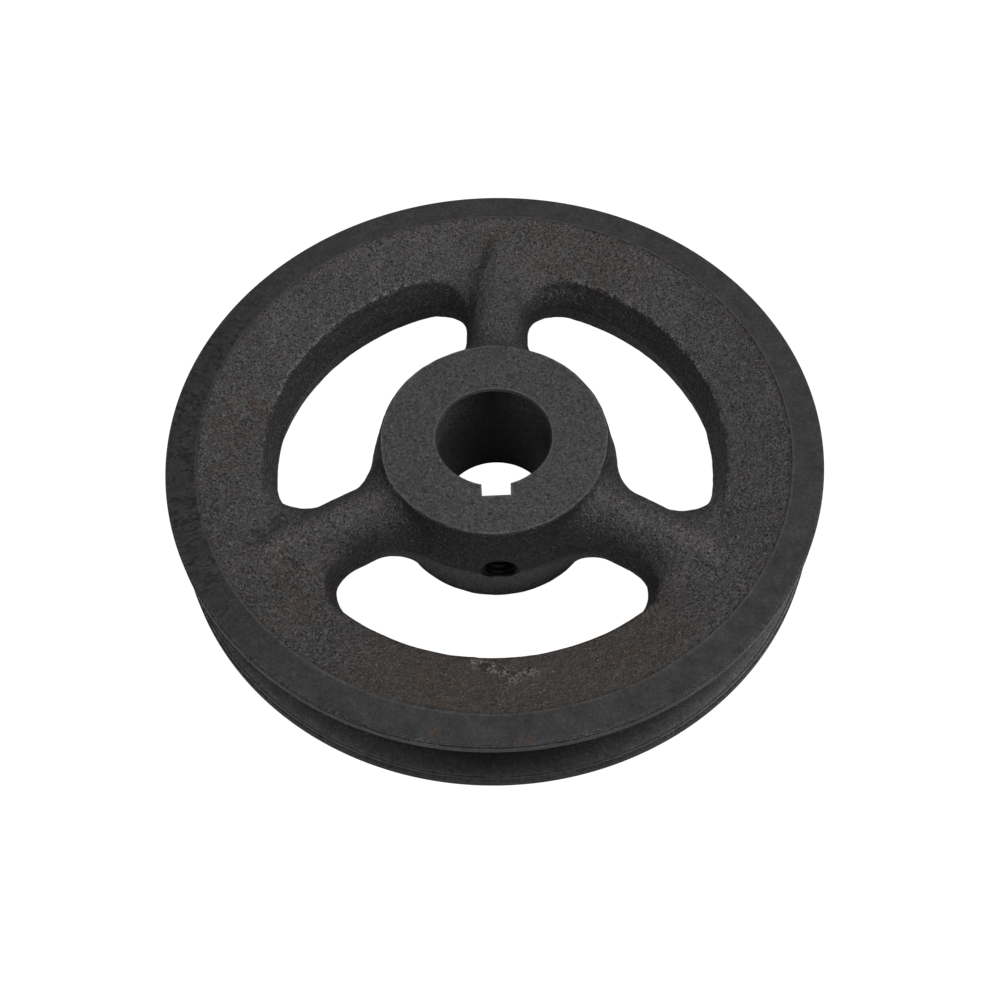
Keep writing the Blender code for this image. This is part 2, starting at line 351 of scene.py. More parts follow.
def crossing_centres(values, cells, corners):
    """Mean place, within each cell, of the points where its edges cross the field's zero."""
    at_corner = np.stack([values[tuple((cells + c).T)] for c in corners], axis=1)
    total = np.zeros((len(cells), 3))
    crossings = np.zeros(len(cells))
    for a, start in enumerate(corners):
        for b, end in enumerate(corners):
            if a < b and sum(start) + 1 == sum(end) and np.abs(np.subtract(end, start)).sum() == 1:
                near, far = at_corner[:, a], at_corner[:, b]
                crossed = (near < 0) != (far < 0)
                share = np.where(crossed, near / np.where(crossed, near - far, 1), 0)
                place = np.array(start) + share[:, None] * np.subtract(end, start)
                total += place * crossed[:, None]
                crossings += crossed
    return total / crossings[:, None]


def crossed_faces(inside, index, axis):
    """A four-sided face, turned outwards, for each grid edge along this axis that crosses zero."""
    one, two = (axis + 1) % 3, (axis + 2) % 3
    shape = [slice(1, -1)] * 3
    shape[axis] = slice(0, -1)
    near = inside[tuple(shape)]
    shape[axis] = slice(1, None)
    far = inside[tuple(shape)]
    crossed = np.argwhere(near != far)
    leaving = near[tuple(crossed.T)]
    crossed[:, one] += 1
    crossed[:, two] += 1
    ring = []
    for back_one, back_two in ((1, 1), (0, 1), (0, 0), (1, 0)):
        cell = crossed.copy()
        cell[:, one] -= back_one
        cell[:, two] -= back_two
        ring.append(index[tuple(cell.T)])
    quads = np.stack(ring, axis=1)
    return np.where(leaving[:, None], quads, quads[:, ::-1])


def surface_net(field, low, high, step):
    """Points and four-sided faces of the zero surface of a field, by the naive surface-net method."""
    axes = [np.arange(a, b + step, step, dtype=np.float32) for a, b in zip(low, high)]
    values = field(*np.meshgrid(*axes, indexing="ij", sparse=True))
    inside = values < 0
    corners = list(np.ndindex(2, 2, 2))
    nx, ny, nz = np.array(values.shape) - 1
    count = sum(inside[i:nx + i, j:ny + j, k:nz + k].astype(np.int8) for i, j, k in corners)
    mixed = (count > 0) & (count < 8)
    cells = np.argwhere(mixed)
    points = np.array(low) + step * (cells + crossing_centres(values, cells, corners))
    index = np.full(mixed.shape, -1)
    index[mixed] = np.arange(len(cells))
    faces = [crossed_faces(inside, index, axis) for axis in range(3)]
    return points, np.concatenate(faces)


def near_path(points, path, width):
    """One on a path of points, falling smoothly to nought at this distance from it."""
    nearest = np.full(len(points), np.inf)
    for start, end in zip(path, path[1:]):
        start, along = np.array(start), np.subtract(end, start)
        share = np.clip((points - start) @ along / (along @ along), 0, 1)
        away = np.linalg.norm(points - start - share[:, None] * along, axis=1)
        nearest = np.minimum(nearest, away)
    return np.clip(1 - nearest / width, 0, 1) ** 0.7


def unevenness(points):
    """How far the cast skin stands off its nominal surface: bumps, a scab, a crust and a crease."""
    height = sum(size * value_noise(points, width, seed) for size, width, seed in SKIN_BUMPS)
    flakes = np.maximum(value_noise(points, 1.3, 4) + 0.25, 0)
    height += SCAB_HEIGHT * flakes * near_path(points, SCAB_PATH, SCAB_WIDTH)
    height += CRUST_HEIGHT * value_noise(points, 1.0, 5) * near_path(points, CRUST_PATH, CRUST_WIDTH)
    return height - CREASE_DEPTH * near_path(points, CREASE_PATH, CREASE_WIDTH)


def blank():
    """The rough casting as a mesh: its field, pulled onto its true skin and given cast unevenness."""
    margin = 2 * GRID_STEP
    reach = OUTSIDE + TURNING + margin
    low = (-reach, -reach, HUB_FOOT - FACING - margin)
    high = (reach, reach, HUB_TOP + FACING + margin)
    points, faces = surface_net(casting_field, low, high, GRID_STEP)
    for _ in range(PROJECTION_ROUNDS):
        slope = gradient(points)
        steepness = np.maximum((slope**2).sum(axis=1), LEAST_STEEPNESS)
        move = (casting_field(*points.T) / steepness)[:, None] * slope
        points -= np.clip(move, -GRID_STEP / 2, GRID_STEP / 2)
    normal = gradient(points)
    normal /= np.linalg.norm(normal, axis=1)[:, None] + 1e-6
    points += normal * unevenness(points)[:, None]
    return new_object("casting", points, faces.tolist())


# Meshes

def new_object(name, points, faces):
    """An object from points in millimetres."""
    data = bpy.data.meshes.new(name)
    data.from_pydata(np.asarray(points, float).tolist(), [], faces)
    data.update()
    item = bpy.data.objects.new(name, data)
    bpy.context.scene.collection.objects.link(item)
    return item


def turned_ring(name, outline, steps):
    """A ring turned round Z from a closed outline of (radius, height) points that clears the axis."""
    count = len(outline)
    points = [
        (r * cos(tau * i / steps), r * sin(tau * i / steps), z) for i in range(steps) for r, z in outline
    ]
    faces = []
    for i in range(steps):
        for j in range(count):
            near, far = i * count, (i + 1) % steps * count
            k = (j + 1) % count
            faces.append((near + j, far + j, far + k, near + k))
    return outward(new_object(name, points, faces))


def lathe(name, rings, steps):
    """A closed solid through rings of (height, radius); a radius may be a function of the angle."""
    points, faces = [], []
    for height, radius in rings:
        for j in range(steps):
            angle = tau * j / steps
            r = radius(angle) if callable(radius) else radius
            points.append((r * cos(angle), r * sin(angle), height))
    for i in range(len(rings) - 1):
        for j in range(steps):
            k = (j + 1) % steps
            faces.append((i * steps + j, i * steps + k, (i + 1) * steps + k, (i + 1) * steps + j))
    faces.append(tuple(range(steps)))
    faces.append(tuple((len(rings) - 1) * steps + j for j in range(steps)))
    return outward(new_object(name, points, faces))


def outward(item):
    """The object with its faces turned outwards."""
    mesh = bmesh.new()
    mesh.from_mesh(item.data)
    bmesh.ops.recalc_face_normals(mesh, faces=mesh.faces)
    mesh.to_mesh(item.data)
    mesh.free()
    return item


# Cutting tools

def rim_cutter():
    """All the space outside the finished rim: over and under its faces, round its lands, and the groove."""
    floor = OUTSIDE - (GROOVE_HALF_OPENING - GROOVE_HALF_FLOOR) / tan(GROOVE_ANGLE)
    inner, outer, over = RING_INNER - RING_CUT_OVERLAP, OUTSIDE + 6, HALF_RIM + 6
    inset, rise = GROOVE_EDGE_BREAK
    outline = [
        (inner, HALF_RIM),
        *[(OUTSIDE - inward, HALF_RIM - below) for inward, below in UPPER_LAND],
        (OUTSIDE, GROOVE_HALF_OPENING + rise), (OUTSIDE - inset, GROOVE_HALF_OPENING),
        (floor, GROOVE_HALF_FLOOR), (floor, -GROOVE_HALF_FLOOR),
        *[(OUTSIDE - inward, above - GROOVE_HALF_OPENING) for inward, above in LOWER_LAND],
        (OUTSIDE, RIM_EDGE_BREAK - HALF_RIM), (OUTSIDE - RIM_EDGE_BREAK, -HALF_RIM), (inner, -HALF_RIM),
        (inner, -over), (outer, -over), (outer, over), (inner, over),
    ]
    return turned_ring("rim_cutter", outline, LATHE_STEPS)


def facing_cutter(name, height, direction):
    """A disc that faces one end of the hub: wider than the hub, and inside the rings."""
    reach, thickness = RING_INNER - 20, 4
    rings = [(height, reach), (height + thickness * direction, reach)]
    return lathe(name, rings, LATHE_STEPS)


def bore_cutter():
    """The bore, flared at both ends to leave its chamfers."""
    wide = BORE + BORE_CHAMFER + OVERCUT
    rings = [
        (HUB_FOOT - OVERCUT, wide), (HUB_FOOT + BORE_CHAMFER, BORE),
        (HUB_TOP - BORE_CHAMFER, BORE), (HUB_TOP + OVERCUT, wide),
    ]
    return lathe("bore_cutter", rings, LATHE_STEPS)


def keyway_cutter():
    """A box from inside the bore to the keyway's floor, over the hub's full length."""
    mesh = bmesh.new()
    bmesh.ops.create_cube(mesh, size=1)
    for vertex in mesh.verts:
        vertex.co.x *= 2 * KEYWAY_HALF_WIDTH
        vertex.co.y = -KEYWAY_FLOOR if vertex.co.y < 0 else -BORE / 2
        vertex.co.z = HUB_FOOT - OVERCUT if vertex.co.z < 0 else HUB_TOP + OVERCUT
    return from_bmesh("keyway_cutter", mesh)


def from_bmesh(name, mesh):
    """An object from a bmesh, which is freed."""
    data = bpy.data.meshes.new(name)
    mesh.to_mesh(data)
    mesh.free()
    item = bpy.data.objects.new(name, data)
    bpy.context.scene.collection.objects.link(item)
    return item


def thread_radius(height, angle, offset):
    """Radius of a right-hand thread: flats on its crest and root, and flanks between them."""
    phase = (height / PITCH - angle / tau) % 1
    flank = min(max(abs(phase - 0.5) * THREAD_STEEPNESS - THREAD_ROOT_FLAT, 0), 1)
    return THREAD_MINOR + (THREAD_MAJOR - THREAD_MINOR) * flank + offset


def screw_hole_cutter():
    """The tapped hole from the bore out through the hub's side along -Y, with a countersunk mouth."""
    start, end = BORE - 2, HUB_WAIST + 1.5
    rows = round((end - start) / PITCH * HOLE_ROWS_PER_PITCH)
    rings = []
    for i in range(rows + 1):
        height = start + (end - start) * i / rows
        mouth = THREAD_MAJOR + HOLE_MOUTH_WIDER - (HUB_WAIST - HOLE_MOUTH_DEPTH - height)
        rings.append((height, lambda a, h=height, m=mouth: max(thread_radius(h, a, 0), m)))
    hole = lathe("screw_hole_cutter", rings, THREAD_STEPS)
    hole.data.transform(along_screw())
    return hole


def along_screw():
    """Turns +Z to -Y, the way out along the screw's axis."""
    return Matrix.Rotation(pi / 2, 4, "X")


def cut(target, cutters):
    """The target less each cutter, whose material marks the faces that it leaves."""
    for cutter in cutters:
        modifier = target.modifiers.new(cutter.name, "BOOLEAN")
        modifier.object = cutter
        modifier.operation = "DIFFERENCE"
        modifier.solver = "MANIFOLD"
        modifier.material_mode = "TRANSFER"
    graph = bpy.context.evaluated_depsgraph_get()
    target.data = bpy.data.meshes.new_from_object(target.evaluated_get(graph))
    target.modifiers.clear()
    for cutter in cutters:
        bpy.data.objects.remove(cutter, do_unlink=True)


def finished(item, angle):
    """The object at its true size and height, smooth-shaded, with sharp corners between its skins."""
    item.data.transform(Matrix.Scale(MM, 4))
    item.data.shade_smooth()
    item.data.set_sharp_from_angle(angle=angle)
    mesh = bmesh.new()
    mesh.from_mesh(item.data)
    for edge in mesh.edges:
        if len({face.material_index for face in edge.link_faces}) > 1:
            edge.smooth = False
    mesh.to_mesh(item.data)
    mesh.free()
    item.location.z = PARTING_HEIGHT * MM


def stand_for(item, node):
    """Puts a visible piece on its body, in place of the CAD node of the same name."""
    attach(item, node)
    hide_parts(node)


# The two pieces

def pulley():
    """The casting with every machined surface cut in it, each in its own skin."""
    casting = blank()
    casting.data.materials.append(cast_skin())
    turned, faced, bored = turned_iron(), faced_iron(), bored_iron()
    worked = [
        (rim_cutter(), turned),
        (facing_cutter("top_facing", HUB_TOP, 1), faced),
        (facing_cutter("foot_facing", HUB_FOOT, -1), faced),
        (bore_cutter(), bored),
        (keyway_cutter(), bored),
        (screw_hole_cutter(), bored),
    ]
    for cutter, skin in worked:
        cutter.data.materials.append(skin)
    cut(casting, [cutter for cutter, skin in worked])
    finished(casting, SHARP_ANGLE)
    stand_for(casting, "pulley")


def socket_radius(angle):
    """Radius of the hexagon socket at this angle round the screw."""
    return SOCKET_ACROSS_FLATS / 2 / cos((angle + pi / 6) % (pi / 3) - pi / 6)


def screw_rings():
    """The screw's surface from the centre of its cup, up its thread and down into its socket."""
    body = THREAD_MAJOR - THREAD_CLEARANCE
    rings = [(CUP_DEPTH, CENTRE_FLAT), (CUP_LIP_DEPTH, CUP_RIM - CUP_LIP_WIDTH), (0, CUP_RIM)]
    rows = round(SCREW_LENGTH / PITCH * SCREW_ROWS_PER_PITCH)
    for i in range(1, rows):
        height = SCREW_LENGTH * i / rows
        limit = min(CUP_RIM + height, body - SCREW_HEAD_CHAMFER + SCREW_LENGTH - height)
        rings.append((
            height,
            lambda a, h=height, m=limit: min(thread_radius(h + SCREW_TIP, a, -THREAD_CLEARANCE), m),
        ))
    rings.append((SCREW_LENGTH, body - SCREW_HEAD_CHAMFER))
    rings.append((SCREW_LENGTH, lambda a: socket_radius(a) + SOCKET_CHAMFER))
    rings.append((SCREW_LENGTH - SOCKET_CHAMFER, socket_radius))
    rings.append((SCREW_LENGTH - SOCKET_DEPTH, socket_radius))
    rings.append((SCREW_LENGTH - SOCKET_DEPTH - SOCKET_POINT, CENTRE_FLAT))
    return rings


def screw():
    """The cup-point set screw, in its hole."""
    item = lathe("screw", screw_rings(), THREAD_STEPS)
    item.data.transform(along_screw())
    for vertex in item.data.vertices:
        vertex.co.y -= SCREW_TIP
    item.data.materials.append(black_oxide())
    finished(item, SCREW_SHARP_ANGLE)
    stand_for(item, "set_screw")


# Materials: everything is worked out from the piece's own coordinates, in millimetres

class Paint:
    """One material's node tree. An input may be a number, a colour or another node's output."""

    def __init__(self, name):
        self.material = bpy.data.materials.new(name)
        self.material.use_nodes = True
        self.tree = self.material.node_tree
        self.shader = self.tree.nodes["Principled BSDF"]
        place = self.node("ShaderNodeTexCoord").outputs["Object"]
        self.place = self.vector("SCALE", place, scale=1 / MM)
        self.x, self.y, self.z = self.node("ShaderNodeSeparateXYZ", Vector=self.place).outputs
        level = self.node("ShaderNodeCombineXYZ", X=self.x, Y=self.y).outputs[0]
        self.radius = self.vector("LENGTH", level)
        self.turn = self.math("ARCTAN2", self.y, self.x)

    def node(self, kind, settings=None, **inputs):
        made = self.tree.nodes.new(kind)
        for key, value in (settings or {}).items():
            setattr(made, key, value)
        for key, value in inputs.items():
            self.feed(made.inputs[key.replace("_", " ")], value)
        return made

    def feed(self, socket, value):
        if isinstance(value, bpy.types.NodeSocket):
            self.tree.links.new(value, socket)
        elif isinstance(value, tuple) and socket.type == "RGBA":
            socket.default_value = (*value, 1)
        else:
            socket.default_value = value

    def math(self, operation, *values):
        made = self.node("ShaderNodeMath", {"operation": operation})
        for socket, value in zip(made.inputs, values):
            self.feed(socket, value)
        return made.outputs[0]

    def vector(self, operation, *values, scale=None):
        made = self.node("ShaderNodeVectorMath", {"operation": operation})
        for socket, value in zip(made.inputs, values):
            self.feed(socket, value)
        if scale is not None:
            self.feed(made.inputs["Scale"], scale)
        one_number = operation in ("LENGTH", "DISTANCE", "DOT_PRODUCT")
        return made.outputs["Value" if one_number else "Vector"]

    def times(self, first, *others):
        """The values multiplied together."""
        for other in others:
            first = self.math("MULTIPLY", first, other)
        return first

    def plus(self, a, b):
        return self.math("ADD", a, b)

    def minus(self, a, b):
        return self.math("SUBTRACT", a, b)

    def most(self, first, *others):
        """The greatest of the values."""
        for other in others:
            first = self.math("MAXIMUM", first, other)
        return first

    def size_of(self, value):
        """The value without its sign."""
        return self.math("ABSOLUTE", value)

    def ramp(self, value, low, high, start=0.0, end=1.0):
        """Start below low, end above high, and a straight line in between."""
        made = self.node("ShaderNodeMapRange", Value=value)
        for name, number in zip(("From Min", "From Max", "To Min", "To Max"), (low, high, start, end)):
            self.feed(made.inputs[name], number)
        return made.outputs[0]

    def mix(self, share, a, b):
        made = self.node("ShaderNodeMix", {"data_type": "RGBA"})
        self.feed(made.inputs[0], share)
        self.feed(made.inputs[6], a)
        self.feed(made.inputs[7], b)
        return made.outputs[2]

    def shade(self, colour, tone):
        """The colour made lighter or darker by a tone, which is one where it stays as it is."""
        return self.vector("SCALE", colour, scale=tone)

    def changed(self, tone, *changes):
        """The tone times the factor of each (share, factor), as far as its share reaches."""
        for share, factor in changes:
            tone = self.times(tone, self.ramp(share, 0.0, 1.0, 1.0, factor))
        return tone

    def noise(self, size, detail=2.0, rough=0.5, place=None, seed=0):
        """Noise from 0 to 1 whose bumps are about this many millimetres wide."""
        made = self.node("ShaderNodeTexNoise", {"noise_dimensions": "4D"})
        for name, value in zip(("Vector", "W", "Scale", "Detail", "Roughness"),
                               (place or self.place, float(seed), 1 / size, detail, rough)):
            self.feed(made.inputs[name], value)
        return made.outputs[0]

    def cells(self, size, seed=0):
        """Distance to the nearest of a crowd of random points this far apart, in sizes."""
        shifted = self.vector("ADD", self.place, (seed, 2.0 * seed, 0))
        made = self.node("ShaderNodeTexVoronoi", Vector=shifted, Scale=1 / size)
        return made.outputs["Distance"]

    def polar(self, along, outward):
        """Coordinates round the axis: arc length over `along`, radius over `outward`, height."""
        arc = self.times(self.turn, OUTSIDE / along)
        out = self.math("DIVIDE", self.radius, outward)
        return self.node("ShaderNodeCombineXYZ", X=arc, Y=out, Z=self.z).outputs[0]

    def patch(self, azimuth, radius, size, soft, height=HALF_RIM - 2):
        """One inside a round patch, falling to nought across its soft edge."""
        centre = (radius * cos(radians(azimuth)), radius * sin(radians(azimuth)), height)
        away = self.vector("DISTANCE", self.place, centre)
        return self.ramp(away, size, size + soft, 1.0, 0.0)

    def path(self, points, width):
        """One on a path of points, falling to nought at this distance from it."""
        nearest = None
        for start, end in zip(points, points[1:]):
            along = tuple(b - a for a, b in zip(start, end))
            from_start = self.vector("SUBTRACT", self.place, start)
            share = self.vector("DOT_PRODUCT", from_start, along)
            share = self.ramp(self.math("DIVIDE", share, sum(a * a for a in along)), 0, 1)
            foot = self.vector("SCALE", along, scale=share)
            away = self.vector("DISTANCE", from_start, foot)
            nearest = away if nearest is None else self.math("MINIMUM", nearest, away)
        return self.ramp(nearest, 0.3 * width, width, 1.0, 0.0)

    def bump(self, height, depth):
        """A normal roughened by a height from 0 to 1 that stands for this many millimetres."""
        return self.node("ShaderNodeBump", Height=height, Distance=depth * MM).outputs[0]

    def edges(self, width):
        """How near a corner is: nought on open ground, up to one on a corner."""
        bevel = self.node("ShaderNodeBevel", {"samples": 4}, Radius=width * MM).outputs[0]
        flat = self.node("ShaderNodeNewGeometry").outputs["Normal"]
        bend = self.minus(1.0, self.vector("DOT_PRODUCT", bevel, flat))
        return self.ramp(bend, 0.02, 0.14)

    def level(self):
        """How level the surface is: one facing straight up or down, nought upright."""
        normal = self.node("ShaderNodeNewGeometry").outputs["Normal"]
        return self.size_of(self.node("ShaderNodeSeparateXYZ", Vector=normal).outputs["Z"])

    def finish(self, colour, roughness, normal, specular, metallic=0.0):
        self.feed(self.shader.inputs["Base Color"], colour)
        self.feed(self.shader.inputs["Roughness"], roughness)
        self.feed(self.shader.inputs["Normal"], normal)
        self.feed(self.shader.inputs["Metallic"], metallic)
        self.feed(self.shader.inputs["Specular IOR Level"], specular)
        return self.material


class CastPaint(Paint):
    """The cast skin's noises and masks, and the stains, tones, painted light and shade and painted glints
    made from them.
    """

    def __init__(self):
        super().__init__("cast_skin")
        self.grain = self.noise(0.5, 2.0, 0.6, seed=1)
        self.fine = self.noise(0.3, 1.0, 0.5, seed=2)
        self.lumps = self.noise(2.2, 3.0, 0.55, seed=3)
        self.smudge = self.noise(1.5, 3.0, 0.6, seed=10)
        self.pointiness = self.node("ShaderNodeNewGeometry").outputs["Pointiness"]
        # Proud spots: painted highlight, partly wear, lighter in the tone and in the glints
        self.proud_highlight = self.ramp(self.pointiness, 0.53, 0.62)
        # Painted glints: bright specks on the grain's tops
        self.glint_specks = self.times(self.ramp(self.fine, 0.59, 0.68), self.ramp(self.grain, 0.5, 0.6))
        ragged = self.ramp(self.noise(7, 3, 0.6, seed=6), 0.12, 0.5)
        self.front = self.times(self.patch(*BROWN_FRONT), ragged)
        pores = self.ramp(self.cells(0.8, 5), 0.2, 0.34, 1.0, 0.0)
        pores = self.times(pores, self.ramp(self.lumps, 0.45, 0.55))
        self.pores = self.times(pores, self.ramp(self.front, 0.0, 1.0, 1.0, 0.35))
        self.scab = self.path(SCAB_PATH, SCAB_WIDTH)
        self.crust = self.path(CRUST_PATH, CRUST_WIDTH)
        # Painted highlights along the near spokes' crests
        crest_highlights = self.most(0.0, *[self.path(path, CREST_HIGHLIGHT_WIDTH) for path in CREST_HIGHLIGHT_PATHS])
        self.crest_highlights = self.times(crest_highlights, self.ramp(self.smudge, 0.36, 0.56, 0.35, 1.0))

    def stained(self):
        """Grey iron, browner at the front, with rust in its patches and by the ring's inner edge."""
        clouds = self.noise(11.0, 3.0, 0.6, seed=4)
        colour = self.mix(self.ramp(clouds, 0.35, 0.65), IRON_DARK, IRON_LIGHT)
        colour = self.mix(self.times(self.front, 0.9), colour, BROWN)
        by_ring = self.size_of(self.minus(self.radius, RING_INNER - 0.4))
        by_ring = self.ramp(by_ring, 0.3, 1.0, 0.9, 0.0)
        rusty = self.most(0.15, *[self.patch(*patch) for patch in RUST_PATCHES], by_ring)
        stain = self.times(self.ramp(self.noise(3.6, 3.0, 0.6, seed=7), 0.44, 0.6), rusty)
        dots = self.times(self.ramp(self.noise(0.9, 3.0, 0.6, seed=9), 0.58, 0.68), stain)
        colour = self.mix(self.times(stain, 0.85), colour, STAIN)
        return self.mix(self.times(dots, 0.7), colour, RUST)

    def grain_tone(self):
        """The grain's light and dark, calmer over the browner front."""
        coarse = self.ramp(self.grain, 0.32, 0.68, 0.38, 1.64)
        tone = self.plus(coarse, self.ramp(self.fine, 0.32, 0.68, -0.5, 0.5))
        tone = self.times(tone, self.ramp(self.lumps, 0.3, 0.7, 0.86, 1.14))
        calm = self.times(self.front, 0.62)
        tone = self.plus(self.times(tone, self.minus(1.0, calm)), calm)
        return self.times(tone, self.ramp(self.smudge, 0.3, 0.7, 0.74, 1.26))

    def marked_tone(self, tone):
        """The tone with smudges and pores darkened, painted shade in hollows and along a crease, and painted
        highlights on proud spots (partly wear), the windows' brinks and the near spokes' crests.
        """
        smudges = self.most(0.0, *[self.patch(*place, 1.0, 2.2) for place in SMUDGES])
        smudges = self.times(smudges, self.ramp(self.smudge, 0.36, 0.52, 1.0, 0.2))
        # Painted shade in hollows
        hollow_shade = self.ramp(self.pointiness, 0.47, 0.40)
        # Painted shade along the crease
        crease_shade = self.path(CREASE_PATH, CREASE_WIDTH)
        # Painted highlight on the level ground by the windows' brinks
        brink_highlights = self.times(self.edges(1.3), self.ramp(self.level(), 0.7, 0.9))
        brink_highlights = self.times(brink_highlights, self.ramp(self.lumps, 0.38, 0.55))
        return self.changed(
            tone, (smudges, 0.4), (self.pores, 0.3), (hollow_shade, 0.6), (self.proud_highlight, 1.35),
            (crease_shade, 0.62), (brink_highlights, 1.5), (self.crest_highlights, 1.32),
        )

    def lit_and_shaded_tone(self, tone):
        """The tone with painted shade on walls and in the gaps of the scab and crust, darker on the hub's
        sides, with painted light towards the back and on the hub's foot, and a dark seam along the parting
        plane.
        """
        level = self.level()
        # Painted shade on upright faces, and painted light towards the back
        tone = self.times(tone, self.ramp(level, 0.1, 0.9, 0.44, 1.06), self.ramp(self.y, 20, 55, 1.0, 1.12))
        by_hub = self.times(self.ramp(self.radius, 29, 33, 1.0, 0.0), self.ramp(level, 0.5, 0.8, 1.0, 0.0))
        hub_side = self.times(by_hub, self.ramp(self.z, -3.0, 0.3))
        # Painted light on the hub's foot, below the parting plane
        foot = self.times(self.ramp(self.z, -3.0, 0.3, 1.0, 0.0), self.ramp(self.radius, 33, 37, 1.0, 0.0))
        seam = self.times(self.ramp(self.size_of(self.z), 0.1, 0.4, 1.0, 0.0), self.lumps)
        # Painted shade in the gaps between the scab's and crust's bright spots
        shaded_gaps = self.times(self.most(self.scab, self.crust), self.ramp(self.smudge, 0.42, 0.5, 1.0, 0.0))
        return self.changed(tone, (hub_side, 0.72), (foot, 2.9), (seam, 0.5), (shaded_gaps, 0.45))

    def chips_and_glints(self):
        """Bright chips with painted glints along the windows' brinks, stronger towards the back, and painted
        glints on the crests.
        """
        brink = self.size_of(self.minus(self.radius, WINDOW_BRINK))
        brink = self.times(self.ramp(brink, 0.25, 0.9, 1.0, 0.0), self.ramp(self.z, 5.5, 6.5))
        brink = self.times(brink, self.ramp(self.pointiness, 0.505, 0.53))
        chips_and_glints = self.times(brink, self.ramp(self.smudge, 0.44, 0.54), self.ramp(self.grain, 0.44, 0.56))
        chips_and_glints = self.times(chips_and_glints, self.ramp(self.y, -10, 25, 0.1, 0.8))
        return self.most(chips_and_glints, self.times(self.crest_highlights, self.glint_specks, 0.6))

    def scab_and_crust_glints(self):
        """Bright flakes with painted glints in the scab, and painted glints in the crust."""
        spots = self.times(self.ramp(self.smudge, 0.44, 0.54), self.ramp(self.grain, 0.46, 0.58, 0.0, 0.75))
        sparks = self.ramp(self.noise(0.4, 2.0, 0.6, seed=12), 0.56, 0.62)
        return self.most(self.times(self.scab, spots), self.times(self.crust, sparks))


def cast_skin():
    """Sand-cast iron: orange-peel grain with dark pores, painted glints, painted light and shade, and
    patches of rust.
    """
    paint = CastPaint()
    tone = paint.lit_and_shaded_tone(paint.marked_tone(paint.grain_tone()))
    colour = paint.shade(paint.stained(), paint.most(tone, 0.12))
    shine = paint.plus(0.6, paint.times(paint.proud_highlight, 0.4))
    # Painted glints on the grain, stronger on proud spots
    colour = paint.mix(paint.times(paint.glint_specks, shine), colour, GLINT)
    # Painted glints in the scab and crust, and chips with painted glints on the brinks and crests
    colour = paint.mix(paint.most(paint.scab_and_crust_glints(), paint.chips_and_glints()), colour, FLAKE_AND_GLINT)
    height = paint.plus(paint.times(paint.grain, 0.7), paint.times(paint.fine, 0.3))
    height = paint.plus(height, paint.times(paint.smudge, 1.1))
    height = paint.minus(height, paint.times(paint.pores, 0.5))
    roughness = paint.ramp(paint.grain, 0.4, 0.65, 0.7, 0.42)
    return paint.finish(colour, roughness, paint.bump(height, 0.42), CAST_SPECULAR)


